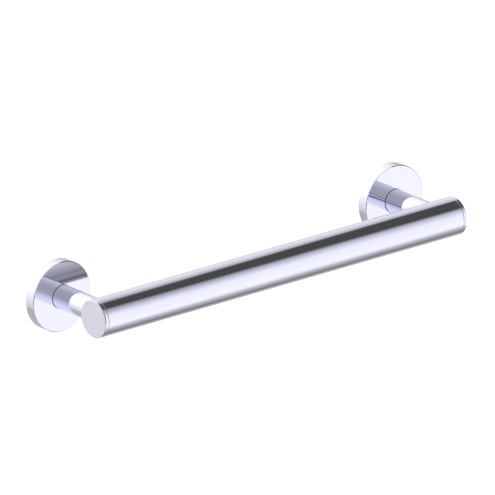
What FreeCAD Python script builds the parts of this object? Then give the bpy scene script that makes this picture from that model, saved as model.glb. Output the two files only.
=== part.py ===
import FreeCAD, Part
import math
import os

# Straight grab bar on two posts, held on the wall by plates that hide under round flange covers.
# Millimetres. X runs along the bar, Z is up, and the wall is the plane Y = 0 with the bar on its -Y side.
# The origin is on the wall, halfway between the two flanges.

# Bar
bar_diameter = 32.0
bar_wall = 1.5
post_spacing = 351.5        # from post centre to post centre
end_overhang = 15.3         # from post centre to the outer face of the end cap
bar_standoff = 68.0         # from wall to bar axis

# End caps
cap_head = 3.5              # length of the cap that shows outside the tube
cap_edge = 0.5              # broken edge round the cap's face
seam_chamfer = 0.2          # on the cap and on the tube, each side of the seam
seam_gap = 0.15             # width of the fine groove turned in the cap at the seam
seam_depth = 0.6            # depth of that groove; the cap seats on the tube's end below it
cap_ring_height = 1.4       # radial height of the rubber ring in its groove
cap_ring_width = 1.6

# Posts
post_diameter = 20.0
post_edge = 0.5
post_bolt_size = 6.0
post_bolt_length = 16.0
post_bolt_head_flats = 10.0
post_bolt_head_height = 4.0
washer_diameter = 13.0
washer_edge = 1.2           # thickness of the saddle washer at its thin sides

# Wall plates
plate_thickness = 4.0
plate_floor = 5.0           # thickness under the post's pocket
boss_wall = 3.15            # wall of the raised boss round the post
plate_bolt_size = 8.0
plate_bolt_length = 20.0
plate_bolt_head_diameter = 16.0
plate_bolt_head_rim = 0.3   # straight rim of the countersunk head
plate_bolt_socket_flats = 5.0
plate_bolt_socket_depth = 2.6
wall_screw_count = 3
wall_screw_hole = 5.5
wall_screw_head = 10.4      # countersink for the screw's head
gasket_thickness = 1.0
gasket_bore_margin = 2.5    # from the countersink of the plate bolt to the gasket's bore

# Flange covers
cover_diameter = 60.0
cover_depth = 9.8
cover_wall = 1.2
cover_edge = 0.35           # broken edge round the cover's face
cover_ring_height = 2.0
cover_ring_width = 2.2

# Clearances
slip = 0.05                 # radial, between pieces that slide into each other
thread_gap = 0.05           # radial, between a bolt and its tapped hole
seat_gap = 0.02             # between curved faces that seat on each other
bolt_hole_gap = 0.3         # radial, round a bolt in a plain hole
bolt_head_sink = 0.1        # countersunk head below the plate's back face
ring_side_gap = 0.05        # each side of a rubber ring in its groove
cap_washer_gap = 0.5        # from the cap's spigot to the saddle washer
cover_post_gap = 0.4        # radial, where the post passes through the cover
cover_seat_gap = 0.2        # from the boss to the inside of the cover
cover_plate_gap = 0.6       # radial, from the plate's rim to the cover's wall
drill_runout = 4.0          # tapped hole beyond the end of its bolt
drill_point = 59.0          # half angle of the drill's tip, in degrees
bolt_point = 0.8            # chamfer at a bolt's tip

# Sizes that follow
bar_r = bar_diameter / 2
bore_r = bar_r - bar_wall
post_r = post_diameter / 2
washer_r = washer_diameter / 2
cover_r = cover_diameter / 2
cover_bore_r = cover_r - cover_wall
bar_half_length = post_spacing / 2 + end_overhang
tube_half_length = bar_half_length - cap_head
washer_top = math.sqrt(bore_r ** 2 - washer_r ** 2) - washer_edge     # from the bar's axis
plate_back = gasket_thickness
plate_face = plate_back + plate_thickness
pocket_floor = plate_back + plate_floor
pocket_r = post_r + slip
boss_r = pocket_r + boss_wall
boss_top = cover_depth - cover_wall - cover_seat_gap
plate_r = cover_bore_r - cover_plate_gap
plate_groove_r = cover_bore_r - cover_ring_height
screw_circle_r = (boss_r + plate_groove_r) / 2
plate_bolt_hole_r = plate_bolt_size / 2 + bolt_hole_gap
countersink_r = plate_bolt_head_diameter / 2 + plate_bolt_head_rim + bolt_head_sink + seat_gap

ALONG = FreeCAD.Vector(1, 0, 0)
OUT = FreeCAD.Vector(0, -1, 0)      # from the wall to the hand
UP = FreeCAD.Vector(0, 0, 1)


def on_bar(x):
    return ALONG * x + OUT * bar_standoff


def on_wall(side, depth=0.0):
    return ALONG * (side * post_spacing / 2) + OUT * depth


def turned(outline, base, axis):
    # Turns an outline of (distance along the axis, radius) points into a solid
    points = [base + axis * along + UP * radius for along, radius in outline]
    face = Part.Face(Part.makePolygon(points + points[:1]))
    solid = Part.Solid(face.revolve(base, axis, 360).Shells[0])
    if solid.Volume < 0:
        solid.reverse()
    return solid


def rod(radius, length, base, axis):
    return Part.makeCylinder(radius, length, base, axis)


def hexagon(flats, length, base, axis):
    corner = UP * (flats / math.sqrt(3))
    turn = FreeCAD.Rotation(axis, 60)
    points = [corner]
    for _ in range(6):
        points.append(turn.multVec(points[-1]))
    outline = Part.makePolygon([base + point for point in points])
    return Part.Face(outline).extrude(axis * length)


def tapped_hole(size, depth, base, axis):
    radius = size / 2
    tip = radius / math.tan(math.radians(drill_point))
    return turned([(0, 0), (0, radius), (depth, radius), (depth + tip, 0)], base, axis)


def rubber_ring(bore_radius, height, width, middle, axis):
    # Square-section ring that fills the height between its groove and the bore round it
    outer_r = bore_radius - seat_gap
    inner_r = bore_radius - height + seat_gap
    half = width / 2
    return turned([(-half, inner_r), (-half, outer_r), (half, outer_r), (half, inner_r)], middle, axis)


def bar_tube():
    end = tube_half_length
    edge = seam_chamfer
    outline = [
        (-end, bore_r), (-end, bar_r - edge), (-end + edge, bar_r),
        (end - edge, bar_r), (end, bar_r - edge), (end, bore_r),
    ]
    tube = turned(outline, on_bar(0), ALONG)
    hole_r = post_bolt_size / 2 + bolt_hole_gap
    for side in (-1, 1):
        tube = tube.cut(rod(hole_r, bar_standoff, on_wall(side), OUT))
    return tube


def cap_spigot_length():
    return end_overhang - cap_head - washer_r - cap_washer_gap


def cap_groove_middle():
    return cap_head + cap_spigot_length() / 2


def end_cap(side):
    spigot_r = bore_r - slip
    groove_r = bore_r - cap_ring_height
    length = cap_head + cap_spigot_length()
    seam = cap_head - seam_gap
    groove_half = cap_ring_width / 2 + ring_side_gap
    groove = (cap_groove_middle() - groove_half, cap_groove_middle() + groove_half)
    outline = [
        (0, 0), (0, bar_r - cap_edge), (cap_edge, bar_r),
        (seam - seam_chamfer, bar_r), (seam, bar_r - seam_chamfer), (seam, bar_r - seam_depth),
        (cap_head, bar_r - seam_depth), (cap_head, spigot_r),
        (groove[0], spigot_r), (groove[0], groove_r), (groove[1], groove_r), (groove[1], spigot_r),
        (length, spigot_r), (length, 0),
    ]
    return turned(outline, on_bar(side * bar_half_length), ALONG * -side)


def cap_ring(side):
    middle = on_bar(side * (bar_half_length - cap_groove_middle()))
    return rubber_ring(bore_r, cap_ring_height, cap_ring_width, middle, ALONG)


def post_bolt_reach():
    # How far the bolt's shank goes past the bar's back surface into the post
    return post_bolt_length - (bar_r - washer_top)


def post(side):
    length = bar_standoff - pocket_floor
    outline = [(0, 0), (0, post_r - post_edge), (post_edge, post_r), (length, post_r), (length, 0)]
    blank = turned(outline, on_wall(side, pocket_floor), OUT)
    coped = blank.cut(rod(bar_r + seat_gap, 2 * bar_half_length, on_bar(-bar_half_length), ALONG))
    front_depth = bar_r + post_bolt_reach() + drill_runout
    front_hole = tapped_hole(post_bolt_size, front_depth, on_wall(side, bar_standoff), -OUT)
    wall_depth = plate_back + bolt_head_sink + plate_bolt_length - pocket_floor + drill_runout
    wall_hole = tapped_hole(plate_bolt_size, wall_depth, on_wall(side, pocket_floor), OUT)
    return coped.cut(front_hole).cut(wall_hole)


def saddle_washer(side):
    seat = on_wall(side, bar_standoff - washer_top)
    blank = rod(washer_r, bore_r - washer_top, seat, -OUT)
    saddle = blank.common(rod(bore_r - seat_gap, 2 * bar_half_length, on_bar(-bar_half_length), ALONG))
    hole_r = post_bolt_size / 2 + bolt_hole_gap
    return saddle.cut(rod(hole_r, bore_r, seat, -OUT))


def post_bolt(side):
    seat = on_wall(side, bar_standoff - washer_top)
    corner_r = post_bolt_head_flats / math.sqrt(3)
    flat_r = post_bolt_head_flats / 2
    top = post_bolt_head_height
    dome = turned([(0, 0), (0, corner_r), (top - (corner_r - flat_r), corner_r), (top, flat_r), (top, 0)], seat, OUT)
    head = hexagon(post_bolt_head_flats, top, seat, OUT).common(dome)
    return head.fuse(bolt_shank(post_bolt_size, post_bolt_length, seat, -OUT))


def bolt_shank(size, length, base, axis):
    radius = size / 2 - thread_gap
    outline = [(0, 0), (0, radius), (length - bolt_point, radius), (length, radius - bolt_point), (length, 0)]
    return turned(outline, base, axis)


def plate_bolt(side):
    top = on_wall(side, plate_back + bolt_head_sink)
    head_r = plate_bolt_head_diameter / 2
    shank_r = plate_bolt_size / 2 - thread_gap
    cone_end = plate_bolt_head_rim + head_r - shank_r
    head = turned([(0, 0), (0, head_r), (plate_bolt_head_rim, head_r), (cone_end, shank_r), (cone_end, 0)], top, OUT)
    bolt = head.fuse(bolt_shank(plate_bolt_size, plate_bolt_length, top, OUT))
    return bolt.cut(hexagon(plate_bolt_socket_flats, plate_bolt_socket_depth, top, OUT))


def screw_places(side):
    # The screws sit evenly round the plate, one of them on the outer side of the bar
    for number in range(wall_screw_count):
        angle = 2 * math.pi * number / wall_screw_count
        across = side * screw_circle_r * math.cos(angle)
        yield ALONG * across + UP * (screw_circle_r * math.sin(angle))


def wall_plate(side):
    groove_half = cover_ring_width / 2 + ring_side_gap
    groove_middle = plate_back + plate_thickness / 2
    outline = [
        (plate_back, countersink_r), (plate_back, plate_r),
        (groove_middle - groove_half, plate_r), (groove_middle - groove_half, plate_groove_r),
        (groove_middle + groove_half, plate_groove_r), (groove_middle + groove_half, plate_r),
        (plate_face, plate_r), (plate_face, boss_r), (boss_top, boss_r), (boss_top, pocket_r),
        (pocket_floor, pocket_r), (pocket_floor, plate_bolt_hole_r),
        (plate_back + countersink_r - plate_bolt_hole_r, plate_bolt_hole_r),
    ]
    plate = turned(outline, on_wall(side), OUT)
    hole_r = wall_screw_hole / 2
    head_r = wall_screw_head / 2
    for place in screw_places(side):
        plate = plate.cut(rod(hole_r, plate_thickness, on_wall(side, plate_back) + place, OUT))
        cone = Part.makeCone(head_r, hole_r, head_r - hole_r, on_wall(side, plate_face) + place, -OUT)
        plate = plate.cut(cone)
    return plate


def cover_ring(side):
    middle = on_wall(side, plate_back + plate_thickness / 2)
    return rubber_ring(cover_bore_r, cover_ring_height, cover_ring_width, middle, OUT)


def wall_gasket(side):
    bore_edge = countersink_r + gasket_bore_margin
    gasket = turned([(0, bore_edge), (0, plate_r), (gasket_thickness, plate_r), (gasket_thickness, bore_edge)],
                    on_wall(side), OUT)
    for place in screw_places(side):
        gasket = gasket.cut(rod(wall_screw_hole / 2, gasket_thickness, on_wall(side) + place, OUT))
    return gasket


def flange_cover(side):
    inside = cover_depth - cover_wall
    hole_r = post_r + cover_post_gap
    outline = [
        (0, cover_bore_r), (0, cover_r), (cover_depth - cover_edge, cover_r),
        (cover_depth, cover_r - cover_edge), (cover_depth, hole_r), (inside, hole_r), (inside, cover_bore_r),
    ]
    return turned(outline, on_wall(side), OUT)


os.makedirs("parts", exist_ok=True)
bar_tube().exportStep("parts/bar_tube.step")

side_pieces = {
    "end_cap": end_cap,
    "cap_ring": cap_ring,
    "post": post,
    "saddle_washer": saddle_washer,
    "post_bolt": post_bolt,
    "wall_plate": wall_plate,
    "plate_bolt": plate_bolt,
    "cover_ring": cover_ring,
    "wall_gasket": wall_gasket,
    "flange_cover": flange_cover,
}
for side_name, side in (("left", -1), ("right", 1)):
    for piece_name, make in side_pieces.items():
        make(side).exportStep(f"parts/{side_name}_{piece_name}.step")
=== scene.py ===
import math

import bmesh
import bpy
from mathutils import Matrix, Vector


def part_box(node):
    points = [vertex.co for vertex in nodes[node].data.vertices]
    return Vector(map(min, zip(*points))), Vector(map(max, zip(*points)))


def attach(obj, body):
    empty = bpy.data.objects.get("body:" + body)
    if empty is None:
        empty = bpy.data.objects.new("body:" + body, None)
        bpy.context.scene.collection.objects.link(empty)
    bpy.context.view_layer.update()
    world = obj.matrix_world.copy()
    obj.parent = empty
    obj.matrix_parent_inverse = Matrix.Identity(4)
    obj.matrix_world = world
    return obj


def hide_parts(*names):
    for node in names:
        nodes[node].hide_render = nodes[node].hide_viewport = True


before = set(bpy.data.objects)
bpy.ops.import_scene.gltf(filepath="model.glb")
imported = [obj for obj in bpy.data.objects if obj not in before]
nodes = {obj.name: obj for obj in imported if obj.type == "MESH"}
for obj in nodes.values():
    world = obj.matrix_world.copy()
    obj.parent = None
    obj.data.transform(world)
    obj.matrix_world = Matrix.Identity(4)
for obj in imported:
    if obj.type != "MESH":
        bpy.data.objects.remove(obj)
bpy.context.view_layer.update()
sides = ("left", "right")
alongBar = Vector((1, 0, 0))
towardsHand = Vector((0, -1, 0))
upwards = Vector((0, 0, 1))
print("frame loaded with", len(nodes), "pieces")

# Sizes read from the frame, in metres
barLow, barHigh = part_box("bar_tube")
barRadius = (barHigh.z - barLow.z) / 2
barAxis = Vector((0, (barLow.y + barHigh.y) / 2, 0))


def clearSelection():
    if bpy.context.mode != "OBJECT":
        bpy.ops.object.mode_set(mode="OBJECT")
    bpy.ops.object.select_all(action="DESELECT")


def makeActive(piece):
    clearSelection()
    piece.select_set(True)
    bpy.context.view_layer.objects.active = piece


def settle(piece):
    # Puts the piece's place into its mesh, so that its object sits at the origin
    makeActive(piece)
    bpy.ops.object.transform_apply(location=True, rotation=True, scale=True)


def placeOnAxis(axis):
    return upwards.rotation_difference(axis).to_euler()


def selectRing(piece, middle, axis, radius):
    # Selects the edges that run round the axis at this middle and radius
    near = 0.00001
    mesh = bmesh.from_edit_mesh(piece.data)
    for edge in mesh.edges:
        onRing = True
        for corner in edge.verts:
            offset = corner.co - middle
            along = offset.dot(axis)
            out = (offset - axis * along).length
            onRing = onRing and abs(along) < near and abs(out - radius) < near
        edge.select = onRing
    mesh.select_flush_mode()
    bmesh.update_edit_mesh(piece.data)


def turnOnLathe(name, start, axis, rings, count, hollow=False):
    # Each ring is (distance along the axis, radius, width of the bevel cut there)
    clearSelection()
    firstAlong, firstRadius, _ = rings[0]
    bpy.ops.mesh.primitive_circle_add(
        vertices=count, radius=firstRadius, location=start + axis * firstAlong, rotation=placeOnAxis(axis))
    piece = bpy.context.active_object
    piece.name = name
    settle(piece)
    bpy.ops.object.mode_set(mode="EDIT")
    bpy.ops.mesh.select_mode(type="EDGE")
    bpy.ops.mesh.select_all(action="SELECT")
    along, radius = firstAlong, firstRadius
    for nextAlong, nextRadius, _ in rings[1:]:
        step = axis * (nextAlong - along)
        grow = nextRadius / radius
        bpy.ops.mesh.extrude_region_move(TRANSFORM_OT_translate={"value": step})
        bpy.ops.transform.resize(value=(grow, grow, grow), center_override=start + axis * nextAlong)
        along, radius = nextAlong, nextRadius
    if hollow:
        bpy.ops.mesh.select_all(action="DESELECT")
        bpy.ops.mesh.select_non_manifold()
        bpy.ops.mesh.bridge_edge_loops()
    else:
        for endAlong, endRadius, _ in (rings[0], rings[-1]):
            selectRing(piece, start + axis * endAlong, axis, endRadius)
            bpy.ops.mesh.edge_face_add()
    for ringAlong, ringRadius, bevel in rings:
        if bevel:
            selectRing(piece, start + axis * ringAlong, axis, ringRadius)
            bpy.ops.mesh.bevel(offset=bevel, segments=1, affect="EDGES")
    bpy.ops.mesh.select_all(action="SELECT")
    bpy.ops.mesh.normals_make_consistent(inside=False)
    bpy.ops.object.mode_set(mode="OBJECT")
    return piece


def combine(piece, other, operation="DIFFERENCE"):
    # Cuts, crops or joins the piece with the other one, which is then deleted
    makeActive(piece)
    step = piece.modifiers.new("step", "BOOLEAN")
    step.operation = operation
    step.solver = "EXACT"
    step.object = other
    bpy.ops.object.modifier_apply(modifier=step.name)
    bpy.data.objects.remove(other)


drill = {
    "before": 0.002,           # length of a bit before its start
    "endFacing": 0.99,         # cosine past which a face counts as the bit's end
    "point": 0.02,             # what is left of the radius at the tip
    "sides": 64,
}


def drillBit(radius, depth, start, axis, tip=0.0, count=drill["sides"]):
    # A rod from a little before the start, with a cone at its end where there is a tip
    before = drill["before"]
    clearSelection()
    bpy.ops.mesh.primitive_cylinder_add(
        vertices=count, radius=radius, depth=depth + before,
        location=start + axis * ((depth - before) / 2), rotation=placeOnAxis(axis))
    bit = bpy.context.active_object
    settle(bit)
    if tip:
        bpy.ops.object.mode_set(mode="EDIT")
        bpy.ops.mesh.select_mode(type="FACE")
        bpy.ops.mesh.select_all(action="DESELECT")
        mesh = bmesh.from_edit_mesh(bit.data)
        for face in mesh.faces:
            face.select = face.normal.dot(axis) > drill["endFacing"]
        bmesh.update_edit_mesh(bit.data)
        shrink = drill["point"]
        point = start + axis * (depth + tip)
        bpy.ops.mesh.extrude_region_move(TRANSFORM_OT_translate={"value": axis * tip})
        bpy.ops.transform.resize(value=(shrink, shrink, shrink), center_override=point)
        bpy.ops.object.mode_set(mode="OBJECT")
    return bit


shading = {
    "sharpFrom": 35,           # degrees between two faces, past which their edge stays sharp
    "flatFirst": 100,          # weight of the large faces in the normals beside them
}


def finishShading(piece):
    # Smooth round faces beside flat ones that stay flat, as a mirror finish needs
    makeActive(piece)
    bpy.ops.object.shade_smooth_by_angle(angle=math.radians(shading["sharpFrom"]))
    weigh = piece.modifiers.new("weigh", "WEIGHTED_NORMAL")
    weigh.keep_sharp = True
    weigh.weight = shading["flatFirst"]
    bpy.ops.object.modifier_apply(modifier=weigh.name)


finished = {}                  # the pieces modelled here, by material slot


def dress(piece, slot, *replaced):
    # Puts the piece in the frame in place of the nodes that it replaces
    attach(piece, "root")
    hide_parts(*replaced)
    finished.setdefault(slot, []).append(piece)


bar = {
    "wall": 0.0015,
    "endEdge": 0.0002,
    "boltHole": 0.0033,        # radius
    "holeLoops": 0.004,        # loops each side of a hole, which keep the long faces whole
    "sides": 256,
}


def modelBar():
    end = barHigh.x
    inside = barRadius - bar["wall"]
    holes = [sum(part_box(f"{side}_post"), Vector())[0] / 2 for side in sides]
    rings = [(-end, inside, 0), (-end, barRadius, bar["endEdge"])]
    for hole in holes:
        for shift in (-bar["holeLoops"], bar["holeLoops"]):
            rings.append((hole + shift, barRadius, 0))
    rings += [(end, barRadius, bar["endEdge"]), (end, inside, 0)]
    for hole in reversed(holes):
        for shift in (bar["holeLoops"], -bar["holeLoops"]):
            rings.append((hole + shift, inside, 0))
    tube = turnOnLathe("grabTube", barAxis, alongBar, rings, bar["sides"], hollow=True)
    for hole in holes:
        place = barAxis + alongBar * hole
        combine(tube, drillBit(bar["boltHole"], barRadius, place, -towardsHand))
    finishShading(tube)
    dress(tube, "polished_chrome", "bar_tube")


modelBar()
print("bar modelled")

cap = {
    "head": 0.0035,
    "faceEdge": 0.0005,
    "seamEdge": 0.0002,
    "seamGroove": (0.0006, 0.00015),   # depth and width of the fine groove at the seam
    "spigotPlay": 0.00005,
    "groove": (0.0014, 0.0017),        # depth and width of the rubber ring's groove
    "spigotEdge": 0.0002,
    "sides": 256,
}


def modelCap(side):
    low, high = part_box(f"{side}_end_cap")
    inwards = alongBar if side == "left" else -alongBar
    face = low if side == "left" else high
    length = high.x - low.x
    spigot = barRadius - bar["wall"] - cap["spigotPlay"]
    grooveDepth, width = cap["groove"]
    bottom = barRadius - bar["wall"] - grooveDepth
    middle = (cap["head"] + length) / 2
    seamDepth, seamWidth = cap["seamGroove"]
    seam = cap["head"] - seamWidth
    rings = [
        (0, barRadius, cap["faceEdge"]),
        (seam, barRadius, cap["seamEdge"]), (seam, barRadius - seamDepth, 0),
        (cap["head"], barRadius - seamDepth, 0), (cap["head"], spigot, 0),
        (middle - width / 2, spigot, 0), (middle - width / 2, bottom, 0),
        (middle + width / 2, bottom, 0), (middle + width / 2, spigot, 0),
        (length, spigot, cap["spigotEdge"]),
    ]
    start = barAxis + alongBar * face.x
    plug = turnOnLathe(f"{side}Cap", start, inwards, rings, cap["sides"])
    finishShading(plug)
    dress(plug, "polished_chrome", f"{side}_end_cap")


for side in sides:
    modelCap(side)
print("end caps modelled")

post = {
    "wallEdge": 0.0005,
    "barGap": 0.00002,         # between the post's hollow end and the bar
    "frontHole": (0.003, 0.0115),      # radius and depth
    "wallHole": (0.004, 0.0191),
    "tipShare": 0.6,           # length of a drilled hole's point as a share of its radius
    "loopAbove": 0.0004,       # loop just outside the bar's surface
    "seatSides": 512,
    "sides": 256,
}


def modelPost(side):
    low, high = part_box(f"{side}_post")
    radius = (high.z - low.z) / 2
    start = Vector(((low.x + high.x) / 2, high.y, 0))
    toAxis = start.y - barAxis.y
    loop = toAxis - barRadius - post["loopAbove"]
    rings = [(0, radius, post["wallEdge"]), (loop, radius, 0), (toAxis, radius, 0)]
    shaft = turnOnLathe(f"{side}Post", start, towardsHand, rings, post["sides"])
    reach = 2 * (barHigh.x + barRadius)
    seat = barRadius + post["barGap"]
    barEnd = barAxis - alongBar * (reach / 2)
    combine(shaft, drillBit(seat, reach, barEnd, alongBar, count=post["seatSides"]))
    holeRadius, depth = post["frontHole"]
    mouth = start + towardsHand * (toAxis - barRadius)
    combine(shaft, drillBit(holeRadius, depth, mouth, -towardsHand, holeRadius * post["tipShare"]))
    holeRadius, depth = post["wallHole"]
    combine(shaft, drillBit(holeRadius, depth, start, towardsHand, holeRadius * post["tipShare"]))
    finishShading(shaft)
    dress(shaft, "polished_chrome", f"{side}_post")


for side in sides:
    modelPost(side)
print("posts modelled")

cover = {
    "wall": 0.0012,
    "faceEdge": 0.0005,
    "wallEdge": 0.0001,
    "postGap": 0.0004,         # between the hole's edge and the post
    "sides": 320,
}


def modelCover(side):
    low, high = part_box(f"{side}_flange_cover")
    postLow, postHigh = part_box(f"{side}_post")
    radius = (high.z - low.z) / 2
    depth = high.y - low.y
    hole = (postHigh.z - postLow.z) / 2 + cover["postGap"]
    inside = radius - cover["wall"]
    under = depth - cover["wall"]
    rings = [
        (0, inside, 0), (0, radius, cover["wallEdge"]), (depth, radius, cover["faceEdge"]),
        (depth, hole, 0), (under, hole, 0), (under, inside, 0),
    ]
    start = Vector(((low.x + high.x) / 2, high.y, 0))
    shell = turnOnLathe(f"{side}Cover", start, towardsHand, rings, cover["sides"], hollow=True)
    finishShading(shell)
    dress(shell, "polished_chrome", f"{side}_flange_cover")


for side in sides:
    modelCover(side)
print("flange covers modelled")

thread = {
    "height": 0.866,           # full height as a share of the pitch
    "crestCut": 0.125,         # what the crest loses, as a share of the full height
    "halfWidth": 0.499,        # just short of the next turn, as a share of the pitch
    "depth": 0.6134,           # from the shank's surface to the core, as a share of the pitch
    "below": 0.000005,         # of the crest under the shank's surface
    "short": 0.0001,           # of the thread before the bolt's end
    "steps": 32,               # in a turn
    "sides": 64,
}


def shankRings(bolt):
    core = bolt["radius"] - thread["depth"] * bolt["pitch"]
    end = bolt["radius"] - bolt["point"]
    return [
        (bolt["plainTo"], bolt["radius"], 0), (bolt["plainTo"] + bolt["radius"] - core, core, 0),
        (bolt["length"] - (core - end), core, 0), (bolt["length"], end, 0),
    ]


def windThread(bolt, start, axis):
    # A ridge of diamond section wound round the axis and cropped to the shank's outline
    pitch, length = bolt["pitch"], bolt["length"]
    height = thread["height"] * pitch
    clearSelection()
    bpy.ops.mesh.primitive_circle_add(vertices=4, radius=1)
    ridge = bpy.context.active_object
    bpy.ops.object.mode_set(mode="EDIT")
    bpy.ops.mesh.select_all(action="SELECT")
    bpy.ops.transform.resize(value=(height, thread["halfWidth"] * pitch, 1))
    bpy.ops.transform.translate(
        value=(bolt["radius"] - (1 - thread["crestCut"]) * height, bolt["threadFrom"], 0))
    bpy.ops.object.mode_set(mode="OBJECT")
    wind = ridge.modifiers.new("wind", "SCREW")
    wind.axis = "Y"
    wind.steps = wind.render_steps = thread["steps"]
    wind.iterations = math.ceil((length - bolt["threadFrom"]) / pitch) + 1
    wind.screw_offset = pitch
    bpy.ops.object.modifier_apply(modifier=wind.name)
    bpy.ops.object.mode_set(mode="EDIT")
    bpy.ops.mesh.select_all(action="SELECT")
    bpy.ops.mesh.fill_holes(sides=4)
    bpy.ops.mesh.normals_make_consistent(inside=False)
    bpy.ops.object.mode_set(mode="OBJECT")
    ridge.rotation_euler = Vector((0, 1, 0)).rotation_difference(axis).to_euler()
    ridge.location = start
    settle(ridge)
    crest = bolt["radius"] - thread["below"]
    outline = turnOnLathe("outline", start, axis, [
        (0, crest, 0), (length - bolt["point"], crest, 0),
        (length - thread["short"], crest - bolt["point"] + thread["short"], 0),
    ], thread["sides"])
    combine(ridge, outline, "INTERSECT")
    return ridge


def setBolts(bolt, name, node):
    # The bolt is modelled with its wall end at the origin; each side gets a copy in its place
    finishShading(bolt)
    for side in sides:
        low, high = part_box(f"{side}_{node}")
        makeActive(bolt)
        bpy.ops.object.duplicate()
        piece = bpy.context.active_object
        piece.name = side + name
        piece.location = ((low.x + high.x) / 2, high.y, 0)
        settle(piece)
        dress(piece, "fastener_steel", f"{side}_{node}")
    bpy.data.objects.remove(bolt)


def hexagonRod(flats, depth, middle, axis):
    clearSelection()
    bpy.ops.mesh.primitive_cylinder_add(
        vertices=6, radius=flats / math.sqrt(3), depth=depth, location=middle, rotation=placeOnAxis(axis))
    rod = bpy.context.active_object
    settle(rod)
    return rod


postBolt = {
    "radius": 0.00295,
    "pitch": 0.001,
    "length": 0.016,
    "point": 0.0008,           # chamfer at the tip
    "plainTo": 0.0013,         # where the plain neck under the head ends
    "threadFrom": 0.0007,
    "headFlats": 0.01,
    "headHeight": 0.004,
    "headBlank": 0.0005,       # of the hexagon beyond the outline that crops it
    "headSides": 96,
}


def modelPostBolts():
    seat = towardsHand * postBolt["length"]
    flats, height = postBolt["headFlats"], postBolt["headHeight"]
    beyond = postBolt["headBlank"]
    head = hexagonRod(flats, height + 2 * beyond, seat + towardsHand * (height / 2), towardsHand)
    wide = flats / math.sqrt(3) + beyond
    dome = turnOnLathe("dome", seat, towardsHand, [
        (0, wide, 0), (height - (wide - flats / 2), wide, 0), (height, flats / 2, 0),
    ], postBolt["headSides"])
    combine(head, dome, "INTERSECT")
    inHead = (-height / 2, postBolt["radius"], 0)
    bolt = turnOnLathe("postBolt", seat, -towardsHand, [inHead] + shankRings(postBolt), thread["sides"])
    combine(bolt, head, "UNION")
    combine(bolt, windThread(postBolt, seat, -towardsHand), "UNION")
    setBolts(bolt, "PostBolt", "post_bolt")


modelPostBolts()

plateBolt = {
    "radius": 0.00395,
    "pitch": 0.00125,
    "length": 0.02,
    "point": 0.0008,
    "plainTo": 0.0056,
    "threadFrom": 0.0048,
    "headRadius": 0.008,
    "headRim": 0.0003,
    "socketFlats": 0.005,
    "socketDepth": 0.0026,
}


def modelPlateBolts():
    top = Vector()
    headRadius, rim = plateBolt["headRadius"], plateBolt["headRim"]
    rings = [
        (0, headRadius, 0), (rim, headRadius, 0),
        (rim + headRadius - plateBolt["radius"], plateBolt["radius"], 0),
    ] + shankRings(plateBolt)
    bolt = turnOnLathe("plateBolt", top, towardsHand, rings, thread["sides"])
    combine(bolt, hexagonRod(plateBolt["socketFlats"], 2 * plateBolt["socketDepth"], top, towardsHand))
    combine(bolt, windThread(plateBolt, top, towardsHand), "UNION")
    setBolts(bolt, "PlateBolt", "plate_bolt")


modelPlateBolts()
print("bolts threaded")


def newGroup(name, inputs, outputs):
    group = bpy.data.node_groups.new(name, "ShaderNodeTree")
    for way, sockets in (("INPUT", inputs), ("OUTPUT", outputs)):
        for label, kind in sockets.items():
            group.interface.new_socket(name=label, in_out=way, socket_type=kind)
    return group, group.nodes.new("NodeGroupInput"), group.nodes.new("NodeGroupOutput")


def addNode(tree, kind, **settings):
    node = tree.nodes.new(kind)
    for label, value in settings.items():
        setattr(node, label, value)
    return node


def makePatternGroup(name, details):
    # One noise for each pattern, from 0 to 1, with this detail and a scale of its own
    scales = {f"{label} Scale": "NodeSocketFloat" for label in details}
    masks = {label: "NodeSocketFloat" for label in details}
    group, inside, outside = newGroup(name, {"Vector": "NodeSocketVector", **scales}, masks)
    for label, detail in details.items():
        noise = addNode(group, "ShaderNodeTexNoise")
        noise.inputs["Detail"].default_value = detail
        group.links.new(inside.outputs["Vector"], noise.inputs["Vector"])
        group.links.new(inside.outputs[f"{label} Scale"], noise.inputs["Scale"])
        group.links.new(noise.outputs["Fac"], outside.inputs[label])
    return group


def newMaterial(name):
    material = bpy.data.materials.new(name)
    material.use_nodes = True
    tree = material.node_tree
    return material, tree, tree.nodes["Principled BSDF"]


noiseRange = (0.35, 0.65)      # where a noise mostly lies


def spread(tree, source, low, high, sourceRange=noiseRange):
    # Maps a mask onto a range of values
    node = addNode(tree, "ShaderNodeMapRange")
    ends = {"From Min": sourceRange[0], "From Max": sourceRange[1], "To Min": low, "To Max": high}
    for label, value in ends.items():
        node.inputs[label].default_value = value
    tree.links.new(source, node.inputs["Value"])
    return node.outputs["Result"]


def blendColours(tree, mask, low, high):
    node = addNode(tree, "ShaderNodeMix", data_type="RGBA")
    node.inputs["A"].default_value = (*low, 1)
    node.inputs["B"].default_value = (*high, 1)
    tree.links.new(mask, node.inputs["Factor"])
    return node.outputs["Result"]


def addBump(tree, shader, height, depth):
    bump = addNode(tree, "ShaderNodeBump")
    bump.inputs["Distance"].default_value = depth
    tree.links.new(height, bump.inputs["Height"])
    tree.links.new(bump.outputs["Normal"], shader.inputs["Normal"])


def paint(material, *pieces):
    for piece in pieces:
        piece.data.materials.clear()
        piece.data.materials.append(material)


# Faint buffing lines and a cloudy film
polishGroup = makePatternGroup("polish", {"Lines": 3, "Cloud": 2})

chrome = {
    "clean": (0.622, 0.622, 0.697),
    "filmed": (0.61, 0.61, 0.683),
    "roughness": (0.015, 0.035),
    "lineScale": 700,
    "cloudScale": 25,
    "lineDepth": 0.0000004,
}


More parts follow.
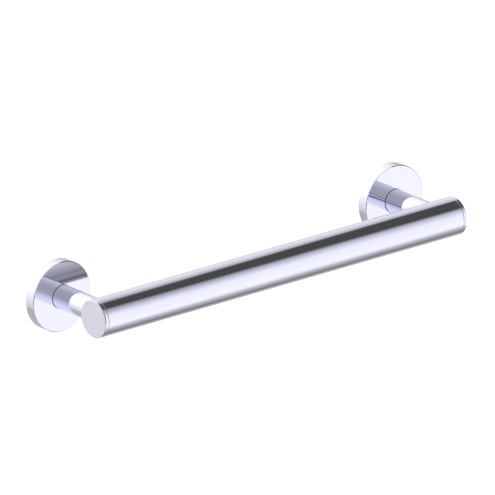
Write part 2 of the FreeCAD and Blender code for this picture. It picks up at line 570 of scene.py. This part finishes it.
def makeChrome():
    material, tree, shader = newMaterial("polishedChrome")
    place = addNode(tree, "ShaderNodeTexCoord")
    polish = addNode(tree, "ShaderNodeGroup", node_tree=polishGroup)
    polish.inputs["Lines Scale"].default_value = chrome["lineScale"]
    polish.inputs["Cloud Scale"].default_value = chrome["cloudScale"]
    tree.links.new(place.outputs["Object"], polish.inputs["Vector"])
    cloud = spread(tree, polish.outputs["Cloud"], 0, 1)
    colour = blendColours(tree, cloud, chrome["clean"], chrome["filmed"])
    tree.links.new(colour, shader.inputs["Base Color"])
    tree.links.new(spread(tree, cloud, *chrome["roughness"], (0, 1)), shader.inputs["Roughness"])
    addBump(tree, shader, polish.outputs["Lines"], chrome["lineDepth"])
    shader.inputs["Metallic"].default_value = 1
    return material


chromeMaterial = makeChrome()
paint(chromeMaterial, *finished["polished_chrome"])
print("chrome applied")

turnedMarks = {
    "ringDetail": 4,
    "stainScale": 60,
    "stainDetail": 3,
}


def makeTurnedGroup():
    # Tool marks of a piece turned round the Y axis, on its faces and its rim alike, from 0 to 1
    group, inside, outside = newGroup(
        "turned",
        {"Vector": "NodeSocketVector", "Ring Scale": "NodeSocketFloat"},
        {"Rings": "NodeSocketFloat", "Stain": "NodeSocketFloat"})
    links = group.links
    flat = addNode(group, "ShaderNodeVectorMath", operation="MULTIPLY")
    flat.inputs[1].default_value = (1, 0, 1)
    out = addNode(group, "ShaderNodeVectorMath", operation="LENGTH")
    split = addNode(group, "ShaderNodeSeparateXYZ")
    place = addNode(group, "ShaderNodeCombineXYZ")
    rings = addNode(group, "ShaderNodeTexNoise", noise_dimensions="2D")
    rings.inputs["Detail"].default_value = turnedMarks["ringDetail"]
    stain = addNode(group, "ShaderNodeTexNoise")
    stain.inputs["Scale"].default_value = turnedMarks["stainScale"]
    stain.inputs["Detail"].default_value = turnedMarks["stainDetail"]
    links.new(inside.outputs["Vector"], flat.inputs[0])
    links.new(flat.outputs["Vector"], out.inputs[0])
    links.new(inside.outputs["Vector"], split.inputs["Vector"])
    links.new(out.outputs["Value"], place.inputs["X"])
    links.new(split.outputs["Y"], place.inputs["Y"])
    links.new(place.outputs["Vector"], rings.inputs["Vector"])
    links.new(inside.outputs["Ring Scale"], rings.inputs["Scale"])
    links.new(inside.outputs["Vector"], stain.inputs["Vector"])
    links.new(rings.outputs["Fac"], outside.inputs["Rings"])
    links.new(stain.outputs["Fac"], outside.inputs["Stain"])
    return group


turnedGroup = makeTurnedGroup()

plateSteel = {
    "bright": (0.6, 0.6, 0.61),
    "dull": (0.48, 0.48, 0.49),
    "roughness": (0.24, 0.42),
    "ringScale": 1800,
    "ringDepth": 0.000004,
}
fastenerSteel = {
    "bright": (0.52, 0.52, 0.53),
    "dull": (0.36, 0.36, 0.37),
    "roughness": (0.28, 0.5),
    "ringScale": 3500,
    "ringDepth": 0.000003,
}


def makeTurnedSteel(name, look, across):
    # The marks run round the axis that meets the wall this far across
    material, tree, shader = newMaterial(name)
    place = addNode(tree, "ShaderNodeTexCoord")
    centred = addNode(tree, "ShaderNodeMapping")
    centred.inputs["Location"].default_value = (-across, 0, 0)
    turned = addNode(tree, "ShaderNodeGroup", node_tree=turnedGroup)
    turned.inputs["Ring Scale"].default_value = look["ringScale"]
    tree.links.new(place.outputs["Object"], centred.inputs["Vector"])
    tree.links.new(centred.outputs["Vector"], turned.inputs["Vector"])
    stain = spread(tree, turned.outputs["Stain"], 0, 1)
    tree.links.new(blendColours(tree, stain, look["bright"], look["dull"]), shader.inputs["Base Color"])
    tree.links.new(spread(tree, turned.outputs["Rings"], *look["roughness"]), shader.inputs["Roughness"])
    addBump(tree, shader, turned.outputs["Rings"], look["ringDepth"])
    shader.inputs["Metallic"].default_value = 1
    return material


# Fine grain left by the mould, and the pale bloom that comes to the surface
rubberGroup = makePatternGroup("rubber", {"Grain": 2, "Bloom": 5})

rubber = {
    "dark": (0.018, 0.018, 0.019),
    "bloomed": (0.05, 0.05, 0.052),
    "roughness": (0.5, 0.72),
    "grainScale": 3500,
    "bloomScale": 110,
    "grainDepth": 0.00001,
}


def makeRubber():
    material, tree, shader = newMaterial("sealRubber")
    place = addNode(tree, "ShaderNodeTexCoord")
    surface = addNode(tree, "ShaderNodeGroup", node_tree=rubberGroup)
    surface.inputs["Grain Scale"].default_value = rubber["grainScale"]
    surface.inputs["Bloom Scale"].default_value = rubber["bloomScale"]
    tree.links.new(place.outputs["Object"], surface.inputs["Vector"])
    bloom = spread(tree, surface.outputs["Bloom"], 0, 1)
    colour = blendColours(tree, bloom, rubber["dark"], rubber["bloomed"])
    tree.links.new(colour, shader.inputs["Base Color"])
    tree.links.new(spread(tree, bloom, *rubber["roughness"], (0, 1)), shader.inputs["Roughness"])
    addBump(tree, shader, surface.outputs["Grain"], rubber["grainDepth"])
    return material


rubberMaterial = makeRubber()
for side in sides:
    postLow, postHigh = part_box(f"{side}_post")
    across = (postLow.x + postHigh.x) / 2
    paint(makeTurnedSteel(f"{side}PlateSteel", plateSteel, across), nodes[f"{side}_wall_plate"])
    fasteners = [piece for piece in finished["fastener_steel"] if piece.name.startswith(side)]
    fasteners.append(nodes[f"{side}_saddle_washer"])
    paint(makeTurnedSteel(f"{side}FastenerSteel", fastenerSteel, across), *fasteners)
    paint(rubberMaterial, *(nodes[f"{side}_{name}"] for name in ("cap_ring", "cover_ring", "wall_gasket")))
print("hidden pieces painted")

camera = {
    "azimuth": -39.682,
    "elevation": 19.997,
    "roll": -0.236,
    "width": 0.40217,          # of the view, in metres
    "aimRight": 0.02186,       # from the frame's origin to the middle of the picture
    "aimUp": -0.00162,
    "distance": 1.2,
}


def direction(azimuth, elevation):
    # From the origin, with 0, 0 straight out from the wall and +X to the right
    azimuth, elevation = math.radians(azimuth), math.radians(elevation)
    flat = math.cos(elevation)
    return Vector((math.sin(azimuth) * flat, -math.cos(azimuth) * flat, math.sin(elevation)))


def setCamera():
    back = direction(camera["azimuth"], camera["elevation"])
    clearSelection()
    bpy.ops.object.camera_add()
    eye = bpy.context.active_object
    eye.name = "photoCamera"
    turn = back.to_track_quat("Z", "Y").to_matrix()
    roll = math.radians(camera["roll"])
    right = turn.col[0] * math.cos(roll) + turn.col[1] * math.sin(roll)
    up = turn.col[1] * math.cos(roll) - turn.col[0] * math.sin(roll)
    turn.col[0], turn.col[1] = right, up
    aim = right * camera["aimRight"] + up * camera["aimUp"]
    eye.rotation_euler = turn.to_euler()
    eye.location = aim + back * camera["distance"]
    eye.data.type = "ORTHO"
    eye.data.ortho_scale = camera["width"]
    bpy.context.scene.camera = eye


setCamera()

# Soft round cards of the studio, each laid over the ones before it: azimuth, elevation,
# angles from its middle where its edge starts and ends, and brightness in red and green, then in blue
studio = {
    "seen": 1.08,              # just past white, for what the camera sees of the studio and the floor
    "base": (0.632, 0.66),
    "cards": {
        "sky": (-9.9, 38.9, 43.2, 45.2, 0.983, 1.019),
        "leftHigh": (-33.3, 15.0, 25.9, 47.2, 0.85, 0.9),
        "backHigh": (191.8, 21.5, 10.9, 68.1, 1.712, 1.712),
        "frontLow": (3.7, -22.3, 25.3, 56.9, 1.707, 1.902),
        "frontGlow": (18.4, 0.6, 1.0, 47.6, 1.396, 1.59),
        "right": (123.3, -1.0, 1.0, 27.0, 0.716, 0.709),
        "below": (124.4, -78.6, 21.5, 35.1, 0.169, 0.122),
        "backLow": (195.2, -53.8, 26.1, 28.1, 0.672, 0.64),
        "leftFlag": (-88.0, -3.0, 33.5, 46.0, 0.15, 0.15),
        "rightFlag": (92.0, 2.0, 36.0, 44.0, 0.29, 0.29),
        "backFlag": (122.0, -21.0, 12.0, 16.5, 0.02, 0.02),
        "belowGlow": (10.0, -81.0, 8.0, 22.0, 0.85, 0.88),
    },
}


def makeCardGroup():
    # Lays one card over the light below it, where the direction is near enough to the card's middle
    group, inside, outside = newGroup(
        "studioCard",
        {"Below": "NodeSocketColor", "Direction": "NodeSocketVector", "Middle": "NodeSocketVector",
         "Inner": "NodeSocketFloat", "Outer": "NodeSocketFloat", "Card": "NodeSocketColor"},
        {"Light": "NodeSocketColor"})
    links = group.links
    nearness = addNode(group, "ShaderNodeVectorMath", operation="DOT_PRODUCT")
    edge = addNode(group, "ShaderNodeMapRange", interpolation_type="SMOOTHSTEP")
    lay = addNode(group, "ShaderNodeMix", data_type="RGBA")
    links.new(inside.outputs["Direction"], nearness.inputs[0])
    links.new(inside.outputs["Middle"], nearness.inputs[1])
    links.new(nearness.outputs["Value"], edge.inputs["Value"])
    links.new(inside.outputs["Outer"], edge.inputs["From Min"])
    links.new(inside.outputs["Inner"], edge.inputs["From Max"])
    links.new(edge.outputs["Result"], lay.inputs["Factor"])
    links.new(inside.outputs["Below"], lay.inputs["A"])
    links.new(inside.outputs["Card"], lay.inputs["B"])
    links.new(lay.outputs["Result"], outside.inputs["Light"])
    return group


def setWorld():
    world = bpy.data.worlds.new("studio")
    bpy.context.scene.world = world
    world.use_nodes = True
    tree = world.node_tree
    background = tree.nodes["Background"]
    looking = addNode(tree, "ShaderNodeTexCoord")
    cardGroup = makeCardGroup()
    light = None
    for azimuth, elevation, inner, outer, redGreen, blue in studio["cards"].values():
        laid = addNode(tree, "ShaderNodeGroup", node_tree=cardGroup)
        laid.inputs["Middle"].default_value = direction(azimuth, elevation)
        laid.inputs["Inner"].default_value = math.cos(math.radians(inner))
        laid.inputs["Outer"].default_value = math.cos(math.radians(outer))
        laid.inputs["Card"].default_value = (redGreen, redGreen, blue, 1)
        tree.links.new(looking.outputs["Generated"], laid.inputs["Direction"])
        if light:
            tree.links.new(light, laid.inputs["Below"])
        else:
            redGreen, blue = studio["base"]
            laid.inputs["Below"].default_value = (redGreen, redGreen, blue, 1)
        light = laid.outputs["Light"]
    path = addNode(tree, "ShaderNodeLightPath")
    pick = addNode(tree, "ShaderNodeMix", data_type="RGBA")
    tree.links.new(path.outputs["Is Camera Ray"], pick.inputs["Factor"])
    tree.links.new(light, pick.inputs["A"])
    pick.inputs["B"].default_value = (studio["seen"], studio["seen"], studio["seen"], 1)
    tree.links.new(pick.outputs["Result"], background.inputs["Color"])


setWorld()

darkCard = {
    "azimuth": 85.5,
    "elevation": 36.5,
    "distance": 3.53,          # from the middle of the bar
    "softEdge": (1.37, 2.01),  # where it starts and ends, from the card's middle
    "light": (0.1, 0.1, 0.098),
    "sides": 96,
}


def hangDarkCard():
    # The bar's dark stripe is this card, near enough to look larger from the bar's right end
    outwards = direction(darkCard["azimuth"], darkCard["elevation"])
    middle = barAxis + outwards * darkCard["distance"]
    inner, outer = darkCard["softEdge"]
    clearSelection()
    bpy.ops.mesh.primitive_circle_add(
        vertices=darkCard["sides"], radius=outer, fill_type="NGON", location=middle,
        rotation=placeOnAxis(-outwards))
    card = bpy.context.active_object
    card.name = "darkCard"
    settle(card)
    for rays in ("camera", "diffuse", "transmission", "volume_scatter", "shadow"):
        setattr(card, f"visible_{rays}", False)
    material, tree, shader = newMaterial("darkCardCloth")
    shader.inputs["Base Color"].default_value = (0, 0, 0, 1)
    shader.inputs["Specular IOR Level"].default_value = 0
    shader.inputs["Emission Color"].default_value = (*darkCard["light"], 1)
    shader.inputs["Emission Strength"].default_value = 1
    place = addNode(tree, "ShaderNodeTexCoord")
    fromMiddle = addNode(tree, "ShaderNodeVectorMath", operation="DISTANCE")
    fromMiddle.inputs[1].default_value = middle
    edge = addNode(tree, "ShaderNodeMapRange", interpolation_type="SMOOTHSTEP")
    edge.inputs["From Min"].default_value = outer
    edge.inputs["From Max"].default_value = inner
    tree.links.new(place.outputs["Object"], fromMiddle.inputs[0])
    tree.links.new(fromMiddle.outputs["Value"], edge.inputs["Value"])
    tree.links.new(edge.outputs["Result"], shader.inputs["Alpha"])
    paint(material, card)


hangDarkCard()

floor = {
    "drop": 0.85,              # from the bar's height to the floor
    "size": 12,
    "colour": (0.8, 0.8, 0.8),
}


def layFloor():
    # The camera sees it as plain white, and the studio's cards stand for it in the metal's reflections
    clearSelection()
    bpy.ops.mesh.primitive_plane_add(size=floor["size"], location=(0, 0, -floor["drop"]))
    ground = bpy.context.active_object
    ground.name = "floor"
    settle(ground)
    ground.visible_glossy = False
    material, tree, shader = newMaterial("floorPaint")
    shader.inputs["Specular IOR Level"].default_value = 0
    shader.inputs["Emission Color"].default_value = (1, 1, 1, 1)
    toCamera = addNode(tree, "ShaderNodeLightPath").outputs["Is Camera Ray"]
    tree.links.new(blendColours(tree, toCamera, floor["colour"], (0, 0, 0)), shader.inputs["Base Color"])
    tree.links.new(spread(tree, toCamera, 0, studio["seen"], (0, 1)), shader.inputs["Emission Strength"])
    paint(material, ground)


layFloor()

lamp = {
    "size": 1.5,
    "energy": 12,
    "place": (-1.1, -1.7, 1.5),
}


def hangLamp():
    clearSelection()
    bpy.ops.object.light_add(type="AREA", location=lamp["place"])
    soft = bpy.context.active_object
    soft.name = "softLamp"
    soft.data.shape = "SQUARE"
    soft.data.size = lamp["size"]
    soft.data.energy = lamp["energy"]
    soft.rotation_euler = Vector(lamp["place"]).to_track_quat("Z", "Y").to_euler()
    soft.visible_glossy = False


hangLamp()
bpy.context.scene.view_settings.view_transform = "Standard"
print("studio ready")
